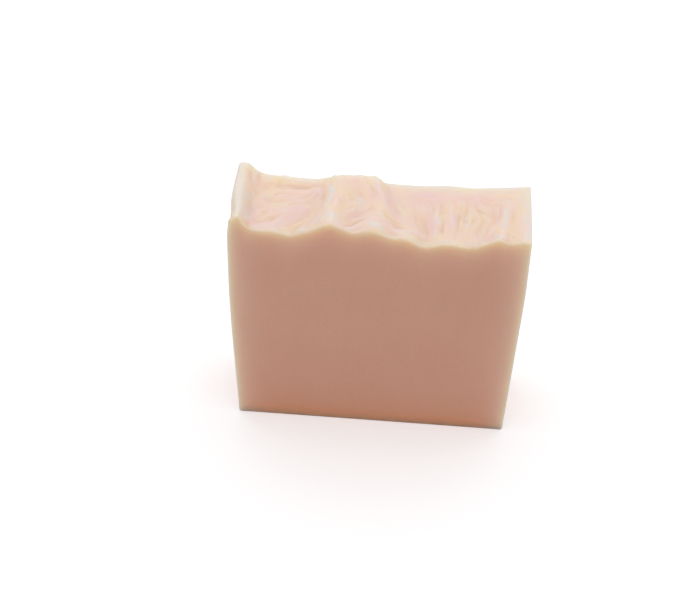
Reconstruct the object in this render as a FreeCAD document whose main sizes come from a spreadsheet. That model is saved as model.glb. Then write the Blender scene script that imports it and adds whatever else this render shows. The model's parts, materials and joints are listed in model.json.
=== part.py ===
import FreeCAD, Part
import Sketcher
import math
import os

# A bar of handmade soap: one slice wire-cut from a loaf that was cast in a tapered mould.
# Frame: origin at the middle of the moulded underside, +X along the width, +Y to the
# back cut face, +Z up to the hand-swirled top. Lengths in millimetres.

vec = FreeCAD.Vector
doc = FreeCAD.newDocument("soap_bar")

# Sizes
sheet = doc.addObject("Spreadsheet::Sheet", "Sizes")
sizes = [
    ("top_width", 80.0, "width of the loaf at the mould's rim"),
    ("bottom_width", 76.0, "width of the moulded underside"),
    ("cut_thickness", 25.4, "distance between the two wire cuts"),
    ("mould_height", 73.0, "height of the mould wall, above the tallest fold"),
    ("side_bow", 0.35, "how far the mould walls bulged at mid height"),
    ("mould_corner_radius", 0.9, "rounding along the mould's two bottom corners"),
    ("cut_edge_radius", 0.4, "rounding where a wire cut meets the moulded skin"),
    ("swirl_level_front", 65.45, "height of the soap between folds, front cut"),
    ("swirl_level_back", 65.65, "height of the soap between folds, back cut"),
]

# Folds that the spoon left in the top. Each runs from the front cut to the back cut:
# where it crosses each cut, how high it stands there, its half width there, and how far
# its middle sways sideways.
fold_sizes = ("front_at", "back_at", "front_rise", "back_rise",
              "front_spread", "back_spread", "sway")
folds = {
    "shore": (-39.0, -41.0, 0.0, 2.5, 6.0, 7.6, 0.0),
    "lip": (-37.5, -38.0, 4.3, 2.0, 2.4, 2.8, -0.2),
    "basin": (-23.3, -28.0, -0.7, 0.5, 2.6, 4.6, 1.5),
    "ridge": (-12.9, -11.1, 3.3, 1.95, 5.0, 5.1, -0.3),
    "hump": (-2.0, -5.5, 2.1, 1.7, 4.4, 3.0, 1.6),
    "shelf": (1.0, -2.0, 0.0, 1.8, 2.6, 1.7, 1.2),
    "shoulder": (7.6, 8.8, 1.2, -0.1, 2.7, 4.0, 0.8),
    "hollow": (11.6, 9.2, -1.7, 0.1, 4.6, 4.6, 0.0),
    "flat": (24.6, 18.0, -1.0, 0.6, 6.0, 5.0, 0.0),
    "ripple": (30.8, 33.0, 2.0, 0.95, 4.0, 8.0, 1.2),
    "bank": (38.3, 42.0, 1.85, 1.8, 3.0, 6.0, 0.0),
}

# Wisps: short folds that begin and end inside the top. Where the middle of each lies,
# which way it points (90 runs from cut to cut), half its length and width, its rise.
wisp_sizes = ("at_x", "at_y", "heading", "reach", "spread", "rise")
wisps = {
    "ridge_peak": (-13.3, -9.0, 80.0, 3.4, 3.0, 0.5),
    "hump_peak": (-0.9, -9.8, 20.0, 2.8, 2.4, 0.5),
    "basin_curl": (-25.0, -3.0, 40.0, 7.0, 2.4, 0.5),
    "basin_drag": (-24.0, 9.6, 0.0, 7.0, 1.8, -0.5),
    "middle_curl": (-6.4, 0.5, 62.0, 4.0, 2.4, 0.4),
    "step_curl": (3.2, -5.0, 132.0, 4.0, 1.8, -0.3),
    "right_drag": (14.7, -1.0, 90.0, 6.0, 1.8, 0.4),
    "right_comb": (18.8, -1.0, 92.0, 5.0, 1.8, 0.4),
    "right_lift": (32.8, 0.0, 84.0, 8.0, 2.0, 0.4),
}
for group, names in ((folds, fold_sizes), (wisps, wisp_sizes)):
    for owner, values in group.items():
        for part, value in zip(names, values):
            meaning = (owner + " " + part).replace("_", " ")
            sizes.append((owner + "_" + part, value, meaning))

for row, (alias, value, meaning) in enumerate(sizes, start=1):
    sheet.set("A%d" % row, alias)
    sheet.set("B%d" % row, str(value))
    sheet.set("C%d" % row, meaning)
    sheet.setAlias("B%d" % row, alias)
doc.recompute()


def size(alias):
    return float(sheet.get(alias))


# Cast block: the loaf's cross section, padded to the distance between the cuts
body = doc.addObject("PartDesign::Body", "CastBlock")
body.Label = "cast_block"


def origin_plane(role):
    return [f for f in body.Origin.OriginFeatures if f.Role == role][0]


section = body.newObject("Sketcher::SketchObject", "LoafSection")
section.AttachmentSupport = [(origin_plane("XZ_Plane"), "")]
section.MapMode = "FlatFace"

half_top = size("top_width") / 2
half_bottom = size("bottom_width") / 2
height = size("mould_height")
bulge = (half_top + half_bottom) / 2 + size("side_bow")
bottom_left, bottom_right = vec(-half_bottom, 0, 0), vec(half_bottom, 0, 0)
top_left, top_right = vec(-half_top, height, 0), vec(half_top, height, 0)

underside = section.addGeometry(Part.LineSegment(bottom_left, bottom_right))
right_wall = section.addGeometry(Part.Arc(bottom_right, vec(bulge, height / 2, 0), top_right))
rim_line = section.addGeometry(Part.LineSegment(top_right, top_left))
left_wall = section.addGeometry(Part.Arc(top_left, vec(-bulge, height / 2, 0), bottom_left))

# In a constraint, 1 and 2 are an edge's start and end, -1 and -2 the level and upright axes.
section.addConstraint([
    Sketcher.Constraint("Coincident", underside, 2, right_wall, 1),
    Sketcher.Constraint("Coincident", right_wall, 2, rim_line, 1),
    Sketcher.Constraint("Coincident", rim_line, 2, left_wall, 1),
    Sketcher.Constraint("Coincident", left_wall, 2, underside, 1),
    Sketcher.Constraint("Symmetric", underside, 1, underside, 2, -2),
    Sketcher.Constraint("Symmetric", rim_line, 1, rim_line, 2, -2),
    Sketcher.Constraint("PointOnObject", underside, 1, -1),
])
driven = [
    ("underside_width", Sketcher.Constraint("DistanceX", underside, 1, underside, 2,
                                            2 * half_bottom), "Sizes.bottom_width"),
    ("rim_width", Sketcher.Constraint("DistanceX", rim_line, 2, rim_line, 1,
                                      2 * half_top), "Sizes.top_width"),
    ("wall_height", Sketcher.Constraint("DistanceY", underside, 1, rim_line, 2,
                                        height), "Sizes.mould_height"),
]
# the walls are arcs: radius from their chord and the bulge at mid height
draft = (half_top - half_bottom)
chord = math.hypot(height, draft)
wall_radius = chord ** 2 / (8 * size("side_bow")) + size("side_bow") / 2
radius_rule = ("(Sizes.mould_height^2 + ((Sizes.top_width - Sizes.bottom_width) / 2)^2)"
               " / (8 * Sizes.side_bow) + Sizes.side_bow / 2")
driven.append(("right_radius", Sketcher.Constraint("Radius", right_wall, wall_radius),
               radius_rule))
driven.append(("left_radius", Sketcher.Constraint("Radius", left_wall, wall_radius),
               radius_rule))
for name, constraint, rule in driven:
    index = section.addConstraint(constraint)
    section.renameConstraint(index, name)
    section.setExpression("Constraints." + name, rule)

block = body.newObject("PartDesign::Pad", "LoafSlice")
block.Profile = section
block.SideType = "Symmetric"
block.setExpression("Length", "Sizes.cut_thickness")
doc.recompute()


def edges_where(shape, test):
    return ["Edge%d" % (i + 1) for i, edge in enumerate(shape.Edges) if test(edge)]


def runs_through(edge):
    return edge.BoundBox.YLength > size("cut_thickness") / 2


def at_bottom_corner(edge):
    return runs_through(edge) and edge.BoundBox.ZMax < height / 2


def on_cut_outline(edge):
    flat = edge.BoundBox.YLength < size("cut_thickness") / 2
    return flat and edge.BoundBox.ZMin < height - size("cut_edge_radius")


mould_corners = body.newObject("PartDesign::Fillet", "MouldCorners")
mould_corners.Base = (block, edges_where(block.Shape, at_bottom_corner))
mould_corners.setExpression("Radius", "Sizes.mould_corner_radius")
doc.recompute()

cut_edges = body.newObject("PartDesign::Fillet", "CutEdges")
cut_edges.Base = (mould_corners, edges_where(mould_corners.Shape, on_cut_outline))
cut_edges.setExpression("Radius", "Sizes.cut_edge_radius")
body.Tip = cut_edges
doc.recompute()

# Swirled top: a smooth sheet laid through the folds, everything above it is open air
half_cut = size("cut_thickness") / 2
overlap = 3.0
across_steps, through_steps = 76, 20


def along(front, back, t):
    return front + (back - front) * t


def swirl_height(x, y):
    t = (y + half_cut) / size("cut_thickness")
    t = min(max(t, 0.0), 1.0)
    level = along(size("swirl_level_front"), size("swirl_level_back"), t)
    for fold in folds:
        crest = along(size(fold + "_front_at"), size(fold + "_back_at"), t)
        crest += size(fold + "_sway") * math.sin(math.pi * t)
        rise = along(size(fold + "_front_rise"), size(fold + "_back_rise"), t)
        spread = along(size(fold + "_front_spread"), size(fold + "_back_spread"), t)
        level += rise * math.exp(-((x - crest) / spread) ** 2)
    for wisp in wisps:
        heading = math.radians(size(wisp + "_heading"))
        dx, dy = x - size(wisp + "_at_x"), y - size(wisp + "_at_y")
        lengthwise = (dx * math.cos(heading) + dy * math.sin(heading)) / size(wisp + "_reach")
        sideways = (dy * math.cos(heading) - dx * math.sin(heading)) / size(wisp + "_spread")
        level += size(wisp + "_rise") * math.exp(-lengthwise ** 2 - sideways ** 2)
    return level


reach = half_top + overlap
depth = half_cut + overlap
grid = []
for i in range(across_steps + 1):
    x = -reach + 2 * reach * i / across_steps
    rows = [-depth + 2 * depth * j / through_steps for j in range(through_steps + 1)]
    grid.append([vec(x, y, swirl_height(x, y)) for y in rows])
swirl = Part.BSplineSurface()
swirl.interpolate(grid)

open_air = doc.addObject("Part::Feature", "AboveSwirl")
open_air.Label = "above_swirl"
open_air.Shape = swirl.toShape().extrude(vec(0, 0, height))

bar = doc.addObject("Part::Cut", "SoapBar")
bar.Label = "soap_bar"
bar.Base = body
bar.Tool = open_air
doc.recompute()

# Check every object, then write the node
for obj in doc.Objects:
    if "Invalid" in obj.State or "Error" in obj.State:
        raise RuntimeError("%s did not recompute: %s" % (obj.Label, obj.State))
for obj in (section, block, mould_corners, cut_edges, open_air, bar):
    if obj.Shape.isNull() or not obj.Shape.isValid():
        raise RuntimeError(obj.Label + " has no sound shape")
if len(bar.Shape.Solids) != 1:
    raise RuntimeError("the bar is not one solid")

os.makedirs("parts", exist_ok=True)
bar.Shape.exportStep("parts/soap_bar.step")
box = bar.Shape.optimalBoundingBox()
print("soap_bar %.2f x %.2f x %.2f mm, %.1f cm3" % (
    box.XLength, box.YLength, box.ZLength, bar.Shape.Volume / 1000))
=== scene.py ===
import json
import math

import bpy
import numpy as np
from mathutils import Matrix, Vector
from mathutils.bvhtree import BVHTree

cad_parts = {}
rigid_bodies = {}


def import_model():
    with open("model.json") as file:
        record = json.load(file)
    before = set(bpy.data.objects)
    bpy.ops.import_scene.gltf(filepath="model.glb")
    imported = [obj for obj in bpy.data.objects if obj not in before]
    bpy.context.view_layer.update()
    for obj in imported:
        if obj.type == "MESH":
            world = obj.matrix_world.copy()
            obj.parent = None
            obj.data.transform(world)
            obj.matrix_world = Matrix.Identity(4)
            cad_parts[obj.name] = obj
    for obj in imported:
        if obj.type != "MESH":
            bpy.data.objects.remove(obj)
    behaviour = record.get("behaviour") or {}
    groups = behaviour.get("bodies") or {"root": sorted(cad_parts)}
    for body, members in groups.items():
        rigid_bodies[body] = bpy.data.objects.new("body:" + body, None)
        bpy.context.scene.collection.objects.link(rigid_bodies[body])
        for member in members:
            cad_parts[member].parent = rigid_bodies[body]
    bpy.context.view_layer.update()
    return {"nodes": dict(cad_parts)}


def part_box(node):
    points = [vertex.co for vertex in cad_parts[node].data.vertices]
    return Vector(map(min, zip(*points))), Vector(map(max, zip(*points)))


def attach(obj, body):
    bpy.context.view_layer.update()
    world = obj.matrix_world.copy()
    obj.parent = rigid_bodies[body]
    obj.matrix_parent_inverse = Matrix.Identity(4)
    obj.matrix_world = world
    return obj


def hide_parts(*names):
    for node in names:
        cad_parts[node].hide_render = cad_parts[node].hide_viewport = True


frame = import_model()

# The bar of soap.
# One slice of cold-process soap: poured into a tapered loaf mould, its top swirled by hand with
# a spoon while soft, and wire-cut front and back once set. Peach soap with a pale dry skin on top.
mm = 0.001
for item in bpy.context.scene.objects:
    item.select_set(False)

# The solid's own top and walls are what the soap is shaped on
solid = frame["nodes"]["soap_bar"]
solid_surface = BVHTree.FromPolygons([v.co.copy() for v in solid.data.vertices],
                                     [tuple(p.vertices) for p in solid.data.polygons])
low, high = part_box("soap_bar")
half_thick = high.y


def wall_at(height):
    """Half width of the solid at a height."""
    return solid_surface.ray_cast(Vector((1, 0, height)), Vector((-1, 0, 0)))[0].x


# Half width of the soap at each millimetre of height: read from the solid's right wall between its
# rounded foot and its top, and carried on from there at the mould's taper (in millimetres)
foot_top, taper_from, taper_to, mould_height = 1.5, 58, 64, 73
heights = np.arange(0, mould_height) * mm
walls = [wall_at(min(max(height, foot_top * mm), taper_to * mm)) for height in heights]
half_width = wall_at(taper_to * mm)
taper = (half_width - wall_at(taper_from * mm)) / (taper_to - taper_from)
walls = [wall + max(0, height / mm - taper_to) * taper for wall, height in zip(walls, heights)]

# A flat sheet of skin, as wide as the bar less its rounded rim. It lies lower than all of the top
sheet_height = 60 * mm
rim_radius = 0.4 * mm
sheet_half_x, sheet_half_y = half_width - rim_radius, half_thick - rim_radius
across, through = 350, 112
bpy.ops.mesh.primitive_grid_add(x_subdivisions=across, y_subdivisions=through, size=1,
                                location=(0, 0, 0))
bar = bpy.context.object
bar.name = "soap_bar_body"
bar.data.name = "soap_bar_body"
bpy.ops.object.mode_set(mode="EDIT")
bpy.ops.mesh.select_all(action="SELECT")
bpy.ops.transform.resize(value=(2 * sheet_half_x, 2 * sheet_half_y, 1), center_override=(0, 0, 0))
bpy.ops.transform.translate(value=(0, 0, sheet_height))
bpy.ops.mesh.select_mode(type="EDGE")
bpy.ops.mesh.select_all(action="DESELECT")
bpy.ops.mesh.select_non_manifold(extend=False, use_wire=False, use_boundary=True,
                                 use_multi_face=False, use_non_contiguous=False,
                                 use_verts=False)


def extrude_ring(drop, half_x, half_y, last_x, last_y):
    """Draws the open edge down by drop and out to its new half sizes."""
    bpy.ops.mesh.extrude_edges_move(TRANSFORM_OT_translate={"value": (0, 0, -drop)})
    bpy.ops.transform.resize(value=(half_x / last_x, half_y / last_y, 1),
                             center_override=(0, 0, 0))


# The rounded rim
ring_x, ring_y, ring_drop = sheet_half_x, sheet_half_y, 0.0
rim_steps = 5
for step in range(1, rim_steps + 1):
    turn = math.pi / 2 * step / rim_steps
    out = rim_radius * math.sin(turn)
    drop = rim_radius * (1 - math.cos(turn))
    new_x, new_y = sheet_half_x + out, sheet_half_y + out
    extrude_ring(drop - ring_drop, new_x, new_y, ring_x, ring_y)
    ring_x, ring_y, ring_drop = new_x, new_y, drop

# The walls, in courses that grow taller away from the rim
mould_corner, cut_corner = 0.9 * mm, 0.4 * mm
wall_left = sheet_height - ring_drop - mould_corner
course, growth, tallest_course, shortest_share = 0.35 * mm, 1.15, 2.6 * mm, 0.4
while wall_left > 0:
    course = min(course * growth, tallest_course)
    if wall_left < (1 + shortest_share) * course:
        course = wall_left
    extrude_ring(course, ring_x, ring_y, ring_x, ring_y)
    wall_left -= course

# The foot, rounded more along the mould's bottom corners than along the cuts, and the underside
foot_steps = 7
last_x, last_y, last_drop = ring_x, ring_y, 0.0
for step in range(1, foot_steps + 1):
    turn = math.pi / 2 * step / foot_steps
    drop = mould_corner * math.sin(turn)
    into_corner = max(0.0, cut_corner - (mould_corner - drop))
    new_x = ring_x - mould_corner * (1 - math.cos(turn))
    new_y = ring_y - cut_corner + math.sqrt(cut_corner ** 2 - into_corner ** 2)
    extrude_ring(drop - last_drop, new_x, new_y, last_x, last_y)
    last_x, last_y, last_drop = new_x, new_y, drop
bpy.ops.mesh.edge_face_add()
bpy.ops.mesh.select_all(action="SELECT")
bpy.ops.mesh.normals_make_consistent(inside=False)
bpy.ops.object.mode_set(mode="OBJECT")

# The swirl, laid out on a fine raster over the top: the solid's folds, then the spoon's marks
pitch = 0.2 * mm
xs = np.arange(-half_width, half_width + pitch, pitch)
ys = np.arange(-half_thick, half_thick + pitch, pitch)
grid_x, grid_y = np.meshgrid(xs, ys)
first_inset, inset_step = 0.15 * mm, 0.1 * mm
above_bar = 100 * mm


def top_at(x, y):
    """Height of the solid's top, read a little inward where its rounded edge or a wall is met."""
    inset = first_inset
    while True:
        near_x = min(max(x, -half_width + inset), half_width - inset)
        near_y = min(max(y, -half_thick + inset), half_thick - inset)
        place = solid_surface.ray_cast(Vector((near_x, near_y, above_bar)), Vector((0, 0, -1)))[0]
        if place and place.z > sheet_height:
            return place.z
        inset += inset_step


def smooth(field, reach):
    """Gaussian blur of a raster, reach in metres."""
    half = int(math.ceil(3 * reach / pitch))
    weights = np.exp(-0.5 * (np.arange(-half, half + 1) * pitch / reach) ** 2)
    weights /= weights.sum()
    for axis in (0, 1):
        pad = [(half, half) if side == axis else (0, 0) for side in (0, 1)]
        field = np.apply_along_axis(lambda line: np.convolve(line, weights, "valid"), axis,
                                    np.pad(field, pad, mode="edge"))
    return field


def sample(field, x, y):
    """Reads a raster at arrays of places, evenly blended between its four nearest points."""
    across_place = np.clip((x - xs[0]) / pitch, 0, len(xs) - 1.001)
    through_place = np.clip((y - ys[0]) / pitch, 0, len(ys) - 1.001)
    column, row = across_place.astype(int), through_place.astype(int)
    rightward, backward = across_place - column, through_place - row
    near = field[row, column] * (1 - rightward) + field[row, column + 1] * rightward
    far = field[row + 1, column] * (1 - rightward) + field[row + 1, column + 1] * rightward
    return near * (1 - backward) + far * backward


def drift(spots, seed):
    """Smooth noise of unit strength over the raster, in spots this many metres wide."""
    chance = np.random.default_rng(seed).standard_normal(grid_x.shape)
    field = smooth(chance, spots / 2)
    return (field - field.mean()) / field.std()


def fade(values, start, run):
    """Rises evenly from 0 at start to 1 a run further on, both in millimetres."""
    return np.clip((values - start * mm) / (run * mm), 0, 1)


def eased(share):
    """Rounds off both ends of a rise from 0 to 1."""
    return share * share * (3 - 2 * share)


facet_blur = 0.25 * mm
top = smooth(np.array([[top_at(x, y) for x in xs] for y in ys]), facet_blur)

# Spoon marks, in millimetres: from, to, bow to the left of the line, half width, rise,
# how white its dry crest is (below nought: how peach the crease is, and how darkly it is painted as
# shade)
marks = [
    (-39.3, 13.0, -38.4, 3.0, -0.2, 1.6, 0.15, 0.9),
    (-38.3, 4.0, -35.9, -9.3, -0.3, 2.1, 0.15, 1.0),
    (-36.9, -6.6, -35.4, -8.9, 0.0, 2.3, 0.1, 1.0),
    (-36.6, 10.5, -34.2, -4.4, -0.2, 0.6, -0.25, -0.65),
    (-28.4, -5.4, -24.4, -3.2, 0.2, 1.7, 0.05, 0.35),
    (-28.8, -10.8, -26.0, -7.2, 0.2, 1.5, 0.05, 0.4),
    (-14.0, 13.0, -13.6, -4.0, 0.0, 0.8, 0.3, 0.8),
    (-13.8, -8.0, -13.0, -9.6, 0.0, 2.3, 0.1, 1.0),
    (-20.4, -11.6, -15.6, -7.6, 0.5, 1.1, 0.3, 0.7),
    (-25.2, -10.4, -21.4, -5.6, 0.4, 1.4, -0.2, -0.45),
    (-28.6, -9.6, -25.2, -3.6, 0.4, 1.6, 0.1, 0.4),
    (-32.4, -8.6, -30.6, -3.4, 0.2, 1.2, -0.1, -0.3),
    (-35.6, 12.0, -34.4, -4.0, -0.2, 1.3, 0.15, 0.5),
    (-33.2, 10.2, -28.6, 10.2, 0.3, 1.3, -0.15, -0.5),
    (-28.6, 8.2, -17.8, 8.6, -0.5, 0.9, -0.25, -0.8),
    (-26.4, 11.6, -20.4, 11.4, -0.2, 1.0, 0.25, 0.55),
    (-30.6, 2.6, -23.0, 3.8, 0.6, 1.1, 0.1, 0.3),
    (-33.0, 0.4, -27.0, 1.2, 0.6, 0.9, -0.15, -0.4),
    (-20.8, 6.0, -17.0, 5.6, 0.3, 1.2, 0.15, 0.1),
    (-20.4, 2.6, -18.4, -2.8, 0.4, 1.4, -0.15, -0.35),
    (-16.6, 8.4, -16.0, -2.6, 0.4, 0.7, -0.2, -0.5),
    (-26.4, -0.6, -23.4, -4.6, 0.4, 1.1, 0.1, 0.3),
    (-10.0, 8.4, -9.4, 3.4, 0.3, 0.9, -0.1, -0.3),
    (-10.9, 2.4, -10.6, -3.6, 0.3, 0.6, -0.15, -0.4),
    (-8.8, 3.8, -8.5, 1.4, 0.1, 0.5, -0.2, -0.5),
    (-7.2, 2.6, -5.2, 0.0, 0.5, 1.2, 0.2, 0.6),
    (-6.2, -2.4, -4.0, -5.4, 0.6, 0.9, 0.15, 0.1),
    (-8.2, -10.2, -4.4, -7.2, 0.4, 0.5, -0.25, -0.9),
    (-8.4, -11.6, -3.6, -9.4, 0.5, 0.9, 0.2, 0.4),
    (-2.4, -9.6, 0.6, -10.2, 0.2, 1.8, 0.1, 0.9),
    (-2.6, 7.0, -0.6, 1.0, -0.5, 1.2, -0.1, -0.25),
    (1.0, -4.0, 5.2, -7.6, -0.4, 0.5, -0.25, -0.8),
    (2.4, -6.2, 5.6, -9.2, -0.4, 0.9, 0.15, 0.2),
    (3.4, 1.2, 6.6, -3.6, -0.4, 1.1, 0.1, 0.15),
    (6.0, -10.0, 9.6, -9.8, -0.4, 1.7, 0.1, 0.65),
    (8.6, 2.0, 9.4, -4.0, 0.3, 0.6, -0.15, -0.45),
    (11.2, 2.6, 11.2, -7.0, -0.4, 1.3, 0.1, -0.25),
    (14.5, 3.4, 14.7, -8.0, 0.3, 0.8, 0.15, 0.5),
    (16.2, 3.0, 16.7, -8.6, 0.2, 0.6, -0.15, -0.8),
    (18.8, 2.0, 18.9, -4.4, -0.2, 0.9, 0.15, -0.15),
    (21.0, 2.2, 20.6, -5.6, 0.2, 0.6, -0.15, -0.7),
    (23.8, 3.4, 23.2, -8.0, -0.3, 0.9, 0.1, 0.25),
    (26.4, 2.0, 28.0, -0.4, 0.2, 0.5, -0.2, -0.8),
    (27.4, -3.6, 29.2, -6.8, 0.3, 1.1, 0.1, -0.1),
    (31.0, 4.0, 31.2, -4.0, 0.5, 0.6, -0.1, -0.4),
    (33.2, 7.0, 32.2, -10.4, 0.4, 1.3, 0.15, 0.65),
    (36.0, 5.0, 35.6, -8.0, -0.4, 1.3, -0.05, -0.2),
    (38.9, 11.0, 38.9, -12.0, 0.0, 1.7, 0.05, 0.75),
]
mark_strength = 0.8
end_fade = 0.9 * mm
unbroken = 0.9

# The spoon never ran quite straight: the marks are read at places nudged by about a third of a
# millimetre, and all but the strongest come and go along their length
wander, wander_spots = 0.35 * mm, 2.2 * mm
nudge_x = grid_x + wander * drift(wander_spots, 1)
nudge_y = grid_y + wander * drift(wander_spots, 2)
patchy = np.clip(0.8 + 0.35 * drift(1.6 * mm, 3), 0.15, 1.3)
relief = np.zeros_like(top)
white = np.zeros_like(top)
hollow_peach_and_shade = np.zeros_like(top)
for x0, y0, x1, y1, bow, spread, rise, pale in marks:
    run_x, run_y = (x1 - x0) * mm, (y1 - y0) * mm
    length = math.hypot(run_x, run_y)
    ahead_x, ahead_y = run_x / length, run_y / length
    dx, dy = nudge_x - x0 * mm, nudge_y - y0 * mm
    share = (dx * ahead_x + dy * ahead_y) / length
    bowed = bow * mm * np.sin(np.pi * np.clip(share, 0, 1))
    sideways = dy * ahead_x - dx * ahead_y - bowed
    beyond = np.maximum(0, np.abs(share - 0.5) - 0.5) * length
    body = np.exp(-np.abs(sideways / (spread * mm)) ** 3 - (beyond / end_fade) ** 2)
    if abs(pale) < unbroken:
        body *= patchy
    relief += mark_strength * rise * mm * body
    if pale > 0:
        white = np.maximum(white, pale * body)
    else:
        hollow_peach_and_shade = np.maximum(hollow_peach_and_shade, -pale * body)

# Small pits where an air bubble burst: place and radius in millimetres. Each pit is also painted
# darker inside: painted shade
bubbles = [(-6.9, -11.4, 0.45), (22.8, -2.2, 0.5), (4.2, 3.4, 0.3), (-28.6, -7.4, 0.35),
           (12.6, -9.6, 0.3), (35.0, -10.2, 0.35)]
depth_to_radius = 0.5
for x, y, radius in bubbles:
    pit = np.exp(-((grid_x - x * mm) ** 2 + (grid_y - y * mm) ** 2) / (radius * mm) ** 2)
    relief -= depth_to_radius * radius * mm * pit
    hollow_peach_and_shade = np.maximum(hollow_peach_and_shade, pit)

# Which way the spoon went, in degrees from the bar's width, at places over the top (millimetres)
strokes = [
    (-38.0, 5.0, 98), (-36.5, -7.0, 105), (-32.0, 2.0, 80), (-31.0, -8.0, 30), (-26.0, -5.0, 45),
    (-20.5, -7.0, 52), (-26.0, 3.0, 22), (-20.0, 2.0, 35), (-25.0, 8.8, 4), (-24.0, 12.5, 6),
    (-17.0, 5.0, 70), (-14.0, 3.0, 88), (-13.5, -7.0, 78), (-9.0, 6.0, 100), (-5.0, 4.0, 115),
    (-7.0, -2.0, 60), (-7.0, -7.0, 38), (-1.5, -8.5, 5), (-3.0, 10.0, 110), (0.5, 2.0, 112),
    (3.0, -4.5, 140), (5.5, 3.0, 120), (8.0, -9.5, 170), (9.5, -1.0, 98), (15.0, -2.0, 90),
    (19.0, -1.0, 92), (23.0, 1.0, 86), (27.0, 2.0, 132), (27.0, -4.0, 74), (30.0, 0.0, 95),
    (33.0, -1.0, 84), (37.5, 0.0, 90), (12.0, 11.0, 4), (22.0, 11.5, 0), (33.0, 11.5, 176),
]
stroke_reach = 2.5 * mm
turn_cos, turn_sin = np.zeros_like(top), np.zeros_like(top)
for x, y, heading in strokes:
    apart = ((grid_x - x * mm) ** 2 + (grid_y - y * mm) ** 2) / stroke_reach ** 2
    near = 1 / (1 + apart) ** 2
    turn_cos += near * math.cos(2 * math.radians(heading))
    turn_sin += near * math.sin(2 * math.radians(heading))
way = 0.5 * np.arctan2(turn_sin, turn_cos)
way_x, way_y = np.cos(way), np.sin(way)
stride = 1.5 * pitch


def pulled(spots, reach, seed):
    """Noise drawn out along the spoon's way, in strands about spots wide."""
    seeds = drift(spots, seed)
    total = seeds.copy()
    steps = int(reach / stride)
    for sign in (1, -1):
        x, y = grid_x.copy(), grid_y.copy()
        last_x, last_y = sign * way_x, sign * way_y
        for step in range(1, steps + 1):
            x, y = x + last_x * stride, y + last_y * stride
            total += sample(seeds, x, y) * (0.5 + 0.5 * math.cos(math.pi * step / (steps + 1)))
            here_x, here_y = sample(way_x, x, y), sample(way_y, x, y)
            flip = np.sign(here_x * last_x + here_y * last_y)
            flip[flip == 0] = 1
            last_x, last_y = here_x * flip, here_y * flip
    return (total - total.mean()) / total.std()


# The spoon left the back right, the right rim and a place right of the middle calm
calm = fade(grid_y, 6, 3) * fade(grid_x, -1, 5)
calm = np.maximum(calm, fade(grid_x, 33.5, 2))
calm_place = np.exp(-((grid_x - 4.5 * mm) / (4.2 * mm)) ** 4
                    - ((grid_y - 5.5 * mm) / (5.5 * mm)) ** 4)
calm = np.maximum(calm, 0.8 * calm_place)
lively = 1 - 0.75 * calm
strands = pulled(0.9 * mm, 3.2 * mm, 11)
threads = pulled(0.35 * mm, 2.2 * mm, 12)
patches = pulled(2.6 * mm, 5.0 * mm, 13)
strand_height, thread_height, patch_height = 0.06 * mm, 0.025 * mm, 0.05 * mm
relief += lively * (strand_height * strands + thread_height * threads + patch_height * patches)
highest_top = high.z - 0.02 * mm
top = np.minimum(top + relief, highest_top)

# Crests and the outer bands dry white, crests also take a painted highlight, creases stay peach and
# take painted shade, and the skin is pink in patches
crest = (top - smooth(top, 1.3 * mm)) / mm
front_band = fade(-grid_y - 0.5 * mm * drift(3 * mm, 21), 10.3, 1.2)
back_band = fade(grid_y - 0.5 * mm * drift(3 * mm, 23), 8.2, 2) * fade(grid_x, -1, 4)
for dry, whiteness in ((front_band, 0.35), (calm, 0.18), (back_band, 0.45), (lively * crest, 0.7)):
    white = np.maximum(white, whiteness * dry)
white = np.clip(white + lively * 0.12 * strands, 0, 1)
hollow_peach_and_shade = np.maximum(hollow_peach_and_shade, -crest) - 0.5 * white
hollow_peach_and_shade = np.clip(hollow_peach_and_shade - lively * (0.12 * strands + 0.06 * threads), 0, 1)
pink = 0.5 + 0.26 * patches + 0.12 * drift(5 * mm, 22)

# Pinker and, below nought, yellower patches of the skin, in millimetres and degrees:
# middle, half length, half width, heading, strength
tints = [
    (19.0, -1.0, 3.2, 1.2, 92, 1.6), (-18.8, 5.2, 2.4, 1.0, 4, 1.6),
    (28.3, -5.2, 2.0, 1.2, 60, 0.7), (-5.0, -4.2, 2.4, 0.9, 55, 0.8),
    (-10.8, -4.6, 1.4, 1.0, 80, 0.6), (-6.4, -10.8, 2.0, 1.0, 20, 0.9),
    (-23.0, -2.4, 2.2, 1.4, 40, 0.6), (-34.4, -4.6, 1.4, 0.9, 70, 0.5),
    (11.2, -2.0, 5.0, 1.3, 90, -0.9), (16.4, -2.0, 4.4, 0.8, 90, -0.6),
    (3.4, -5.6, 2.6, 2.4, 135, -0.5), (-19.6, 0.4, 3.2, 1.6, 110, -0.5),
    (-32.0, -1.0, 3.4, 1.6, 80, -0.6), (-27.0, 9.6, 5.0, 1.0, 0, -0.6),
    (28.6, 2.0, 2.4, 1.4, 120, -0.5), (36.4, 1.0, 6.0, 1.4, 90, -0.7),
    (-22.4, -9.4, 2.8, 1.5, 35, -1.0), (-34.6, 0.0, 4.2, 1.6, 102, -0.8),
    (-9.4, 4.6, 2.6, 1.0, 100, -0.6),
]
for x, y, reach, spread, heading, strength in tints:
    ahead_x, ahead_y = math.cos(math.radians(heading)), math.sin(math.radians(heading))
    dx, dy = nudge_x / mm - x, nudge_y / mm - y
    pink += 0.5 * strength * np.exp(-((dx * ahead_x + dy * ahead_y) / reach) ** 4
                                    - ((dy * ahead_x - dx * ahead_y) / spread) ** 2)
pink = np.clip(pink, 0, 1)

# The sheet and walls are fitted to the swirl and to the mould's tapered, slightly bulged walls
count = len(bar.data.vertices)
place = np.zeros(count * 3, np.float32)
bar.data.vertices.foreach_get("co", place)
place = place.reshape(-1, 3).astype(float)
x, y, z = place[:, 0], place[:, 1], place[:, 2]

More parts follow.
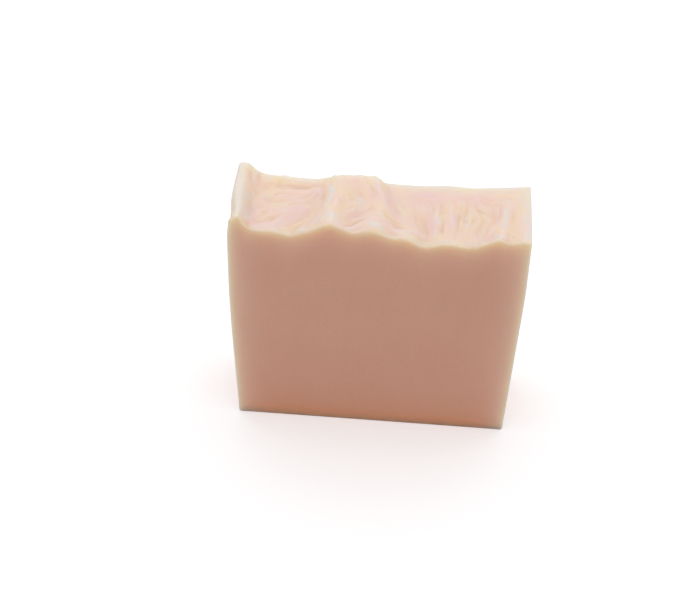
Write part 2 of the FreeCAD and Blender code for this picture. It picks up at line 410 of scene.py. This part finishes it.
# The four upright edges, rounded where a wire cut meets the moulded skin
upright_radius = 0.5 * mm
over_x = np.abs(x) - (half_width - upright_radius)
over_y = np.abs(y) - (half_thick - upright_radius)
at_edge = (over_x > 0) & (over_y > 0)
pull = np.maximum(over_x, over_y) / np.maximum(np.hypot(over_x, over_y), 1e-9)
x = np.where(at_edge, np.sign(x) * (half_width - upright_radius + over_x * pull), x)
y = np.where(at_edge, np.sign(y) * (half_thick - upright_radius + over_y * pull), y)

# The top goes to the swirl's height, and the upper walls follow it
swirl_z = sample(top, x, y)
z = z + (swirl_z - sheet_height) * eased(fade(z, 30, 28))

# The walls: the mould's taper, and a bulge in millimetres from the weight of the soft loaf
bulge_heights = (0, 10, 20, 30, 42, 50, 56, 62, 68)
left_bulge = (0, 0.05, 0.18, 0.30, 0.36, 0.27, 0.16, 0.06, 0)
right_bulge = (0, 0, 0, 0.03, 0.18, 0.27, 0.16, 0.06, 0)
bulge = np.where(x < 0, np.interp(z / mm, bulge_heights, left_bulge),
                 np.interp(z / mm, bulge_heights, right_bulge)) * mm
wall_x = np.interp(z, heights, walls) + bulge
x = x * wall_x / half_width

# The front left shoulder is drawn in, most where it meets the swirl
shoulder_in, shoulder_y, shoulder_spread, shoulder_run = 0.9 * mm, -9.2 * mm, 3.6 * mm, 4 * mm
shoulder = np.exp(-((y - shoulder_y) / shoulder_spread) ** 2)
shoulder *= np.clip(1 - (wall_x + x) / shoulder_run, 0, 1)
x = x + shoulder_in * shoulder * eased(fade(z - swirl_z, -5.4, 5))

# All of it stays this far inside the solid's box
shy = 0.01 * mm
x = np.clip(x, low.x + shy, high.x - shy)
y = np.clip(y, low.y + shy, high.y - shy)

# Where the dry skin ends: it thins out over the front rim, and less over the other three. Over the
# front rim it gives way sooner, so that the edge there is painted a little darker: painted shade
from_front = np.maximum(half_thick + place[:, 1], 0)
from_rest = np.maximum(np.minimum(half_width - np.abs(place[:, 0]), half_thick - place[:, 1]), 0)
below = np.minimum(place[:, 2] - (sheet_height - rim_radius), 0)
front_share, front_run = 0.3, 2.6 * mm
rest_share, rest_run = 0.85, 1.3 * mm
on_skin = eased(np.clip(np.minimum(front_share + (from_front + below) / front_run,
                                   rest_share + (from_rest + below) / rest_run), 0, 1))

# Nearness to the rim, to an upright edge and to the foot, and which faces were moulded: the first
# two mask a painted glow, the third painted shade and bounce light
rim_glow_reach, edge_glow_reach, foot_shade_bounce_reach = 4.2 * mm, 3.9 * mm, 8 * mm
# A paler glow is painted under the rim and along the upright edges, where light would shine through
# the soap: painted light
rim_glow_share = np.exp(-(np.maximum(swirl_z - z, 0) / rim_glow_reach) ** 1.3)
from_edge = np.maximum(wall_x - np.abs(x), half_thick - np.abs(y))
edge_glow_share = np.exp(-(np.maximum(from_edge, 0) / edge_glow_reach) ** 1.2)
# Towards the foot the soap is painted darker and more orange: painted shade where the bar meets the
# table, and painted warm bounce light
foot_shade_bounce_share = np.exp(-np.maximum(z, 0) / foot_shade_bounce_reach)
moulded = np.clip((np.abs(place[:, 0]) - (half_width - upright_radius)) / (0.5 * upright_radius),
                  0, 1)


def keep_guide(name, *channels):
    """Stores four numbers on each point of the bar for its material."""
    guide = bar.data.color_attributes.new(name, "FLOAT_COLOR", "POINT")
    guide.data.foreach_set("color", np.stack(channels, axis=1).astype(np.float32).ravel())


keep_guide("swirl_guide", sample(white, x, y), sample(hollow_peach_and_shade, x, y), on_skin, sample(pink, x, y))
keep_guide("painted_light_and_mould_guide", rim_glow_share, edge_glow_share, foot_shade_bounce_share, moulded)

bar.data.vertices.foreach_set("co", np.stack([x, y, z], axis=1).astype(np.float32).ravel())
bar.data.update()
bar.select_set(True)
bpy.context.view_layer.objects.active = bar
bpy.ops.object.shade_smooth()

# Soap: peach through and through, pale dry skin on the swirl, light goes a little way in
soap = bpy.data.materials.new("peach_soap")
soap.use_nodes = True
tree = soap.node_tree
shader = tree.nodes["Principled BSDF"]
shader.inputs["IOR"].default_value = 1.46
shader.inputs["Specular IOR Level"].default_value = 0.35
shader.subsurface_method = "RANDOM_WALK"
shader.inputs["Subsurface Weight"].default_value = 1.0
shader.inputs["Subsurface Radius"].default_value = (1.0, 0.85, 0.5)
shader.inputs["Subsurface Scale"].default_value = 8.0 * mm


def add_node(kind, **settings):
    """Adds a node of that kind with its settings."""
    node = tree.nodes.new(kind)
    for name, value in settings.items():
        setattr(node, name, value)
    return node


def blend(factor, first, second):
    """Mixes two colours or colour sockets by a factor socket."""
    mix = add_node("ShaderNodeMix", data_type="RGBA")
    tree.links.new(factor, mix.inputs[0])
    for socket, value in ((mix.inputs[6], first), (mix.inputs[7], second)):
        if isinstance(value, tuple):
            socket.default_value = (*value, 1)
        else:
            tree.links.new(value, socket)
    return mix.outputs[2]


def ramp(source, start, end, low_value=0.0, high_value=1.0):
    """Rescales a number socket from start..end to low_value..high_value, clamped."""
    scale = add_node("ShaderNodeMapRange")
    tree.links.new(source, scale.inputs[0])
    for index, value in enumerate((start, end, low_value, high_value), start=1):
        scale.inputs[index].default_value = value
    return scale.outputs[0]


def read_guide(name):
    """The four channels of a guide kept on the bar's points."""
    guide = add_node("ShaderNodeAttribute", attribute_name=name)
    channels = add_node("ShaderNodeSeparateColor")
    tree.links.new(guide.outputs["Color"], channels.inputs[0])
    return (*channels.outputs, guide.outputs["Alpha"])


where = add_node("ShaderNodeTexCoord").outputs["Object"]
white_part, hollow_peach_and_shade_part, skin_part, pink_part = read_guide("swirl_guide")
rim_glow_part, edge_glow_part, foot_shade_bounce_part, moulded_part = read_guide("painted_light_and_mould_guide")


def speckle(scale, detail, stretch=(1, 1, 1)):
    """Noise in the bar's own space, scale in spots per metre."""
    mapping = add_node("ShaderNodeMapping")
    mapping.inputs["Scale"].default_value = stretch
    tree.links.new(where, mapping.inputs["Vector"])
    spots = add_node("ShaderNodeTexNoise")
    spots.inputs["Scale"].default_value = scale
    spots.inputs["Detail"].default_value = detail
    tree.links.new(mapping.outputs[0], spots.inputs["Vector"])
    return spots.outputs["Fac"]


# The soap under the skin: cloudy peach with upright wire streaks and fine specks. Each tint after
# that
# lies over the ones before: the foot's painted shade and warm bounce light, the moulded sides, and a
# painted glow along the upright edges and under the rim
peach, warm_peach = (0.745, 0.42, 0.30), (0.765, 0.44, 0.32)
streak_peach, speck_peach = (0.76, 0.44, 0.335), (0.68, 0.38, 0.28)
# The two foot colours are painted shade and warm bounce light, the second keeping the red up at the
# very foot
foot_painted_shade_bounce, foot_painted_bounce_red = (0.84, 0.35, 0.19), (0.98, 0.36, 0.18)
# The rim and edge colours on the next line are a pale painted glow of light through the soap's
# edges; the moulded tan is the sides' own colour
moulded_tan, edge_painted_glow, rim_painted_glow = (0.80, 0.58, 0.47), (0.80, 0.655, 0.54), (0.845, 0.65, 0.455)
cloud = ramp(speckle(60, 3), 0.35, 0.65)
streaks = ramp(speckle(500, 4, (1, 1, 0.06)), 0.35, 0.7)
soap_colour = blend(cloud, peach, warm_peach)
soap_colour = blend(ramp(streaks, 0, 1, 0, 0.4), soap_colour, streak_peach)
soap_colour = blend(ramp(speckle(1800, 2), 0.35, 0.75, 0, 0.6), soap_colour, speck_peach)
# Painted shade and warm bounce light towards the foot
soap_colour = blend(ramp(foot_shade_bounce_part, 0, 1, 0, 0.72), soap_colour, foot_painted_shade_bounce)
soap_colour = blend(ramp(foot_shade_bounce_part, 0.55, 1, 0, 0.7), soap_colour, foot_painted_bounce_red)
soap_colour = blend(ramp(moulded_part, 0, 1, 0, 0.3), soap_colour, moulded_tan)
# Painted glow along the upright edges and under the rim
soap_colour = blend(ramp(edge_glow_part, 0.03, 1, 0, 0.78), soap_colour, edge_painted_glow)
soap_colour = blend(ramp(rim_glow_part, 0.03, 1, 0, 0.78), soap_colour, rim_painted_glow)

# The dry skin: yellow to pink, tan in the creases where peach soap shows and painted shade darkens
# it, and white on the crests, partly dry skin and partly a painted highlight
skin_yellow, skin_pink = (0.868, 0.694, 0.530), (0.859, 0.634, 0.588)
crease_tan_and_shade, dry_white_and_highlight = (0.76, 0.555, 0.385), (0.78, 0.685, 0.635)
skin_colour = blend(pink_part, skin_yellow, skin_pink)
skin_colour = blend(ramp(hollow_peach_and_shade_part, 0, 1, 0, 0.65), skin_colour, crease_tan_and_shade)
skin_colour = blend(ramp(white_part, 0, 1, 0, 0.9), skin_colour, dry_white_and_highlight)
tree.links.new(blend(skin_part, soap_colour, skin_colour), shader.inputs["Base Color"])

# Satin, slightly uneven finish
smoothest, roughest = 0.40, 0.52
tree.links.new(ramp(speckle(900, 3), 0.3, 0.7, smoothest, roughest), shader.inputs["Roughness"])


def bump(height, strength, distance):
    """Presses a height socket's pattern into the surface."""
    press = add_node("ShaderNodeBump")
    press.inputs["Strength"].default_value = strength
    press.inputs["Distance"].default_value = distance
    tree.links.new(height, press.inputs["Height"])
    return press


# Fine grain all over, and the upright drag of the cutting wire
grain = bump(speckle(2600, 3), 0.25, 0.12 * mm)
drag = bump(speckle(900, 2, (1, 1, 0.05)), 0.2, 0.1 * mm)
tree.links.new(grain.outputs[0], drag.inputs["Normal"])
tree.links.new(drag.outputs[0], shader.inputs["Normal"])
bar.data.materials.append(soap)

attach(bar, "root")
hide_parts("soap_bar")

# The table: a plain sheet of matt white card that the bar stands on, wide enough to fill the
# picture. It glows a little for the camera alone, so that it shows white and keeps the bar's shadow.
table_side = 1.4
bpy.ops.mesh.primitive_plane_add(size=table_side, location=(0, 0, 0))
table = bpy.context.object
table.name = "white_table"
card = bpy.data.materials.new("white_table")
card.use_nodes = True
card_tree = card.node_tree
card_shader = card_tree.nodes["Principled BSDF"]
card_shader.inputs["Base Color"].default_value = (0.80, 0.80, 0.81, 1)
card_shader.inputs["Roughness"].default_value = 0.9
card_shader.inputs["Specular IOR Level"].default_value = 0.0
camera_glow = 0.32
seen = card_tree.nodes.new("ShaderNodeLightPath")
lifted = card_tree.nodes.new("ShaderNodeMath")
lifted.operation = "MULTIPLY"
lifted.inputs[1].default_value = camera_glow
card_tree.links.new(seen.outputs["Is Camera Ray"], lifted.inputs[0])
card_shader.inputs["Emission Color"].default_value = (1, 1, 1, 1)
card_tree.links.new(lifted.outputs[0], card_shader.inputs["Emission Strength"])
table.data.materials.append(card)

# The studio: an even pale room that shows the camera plain white, and a broad square softbox of
# white cloth, hung over the bar and a little behind it.
room = bpy.data.worlds.new("studio")
bpy.context.scene.world = room
room.use_nodes = True
room_light, room_seen = 0.52, 1.0
air = room.node_tree.nodes["Background"]
air.inputs["Color"].default_value = (1, 1, 1, 1)
looked_at = room.node_tree.nodes.new("ShaderNodeLightPath")
brightness = room.node_tree.nodes.new("ShaderNodeMapRange")
brightness.inputs["To Min"].default_value = room_light
brightness.inputs["To Max"].default_value = room_seen
room.node_tree.links.new(looked_at.outputs["Is Camera Ray"], brightness.inputs["Value"])
room.node_tree.links.new(brightness.outputs[0], air.inputs["Strength"])

softbox_side, softbox_power = 2.4, 16.5
softbox_place, softbox_target = (0, 0.3, 1.3), Vector((0, 0, 0.04))
bpy.ops.object.light_add(type="AREA", location=softbox_place)
softbox = bpy.context.object
softbox.name = "softbox"
softbox.data.shape = "RECTANGLE"
softbox.data.size = softbox_side
softbox.data.size_y = softbox_side
softbox.data.energy = softbox_power
aim = softbox_target - softbox.location
softbox.rotation_euler = aim.to_track_quat("-Z", "Y").to_euler()

# The camera stands where the photograph was taken from, looking down at the bar a little from the
# right. Its place, turn and focal length were fitted to the bar's corners (millimetres).
photo_width = 680
focal_pixels = 1482.3
azimuth, elevation, roll = math.radians(3.84), math.radians(39.3), math.radians(1.5)
distance, middle_height, shift_left, shift_down = 416.6, 33.75, 10.39, 0.48
camera_data = bpy.data.cameras.new("camera")
camera = bpy.data.objects.new("camera", camera_data)
bpy.context.scene.collection.objects.link(camera)
bpy.context.scene.camera = camera
camera_data.sensor_width = 36
camera_data.lens = focal_pixels / photo_width * camera_data.sensor_width
camera_data.clip_start, camera_data.clip_end = 0.01, 20
backward = Vector((math.sin(azimuth) * math.cos(elevation),
                   -math.cos(azimuth) * math.cos(elevation), math.sin(elevation)))
level = (-backward).cross(Vector((0, 0, 1))).normalized()
upward = level.cross(-backward)
right = level * math.cos(roll) + upward * math.sin(roll)
up = upward * math.cos(roll) - level * math.sin(roll)
centre = Vector((0, 0, middle_height * mm)) - right * shift_left * mm - up * shift_down * mm
spot = centre + backward * distance * mm
camera.matrix_world = Matrix((
    (right.x, up.x, backward.x, spot.x),
    (right.y, up.y, backward.y, spot.y),
    (right.z, up.z, backward.z, spot.z),
    (0, 0, 0, 1)))

bpy.context.scene.view_settings.view_transform = "Standard"
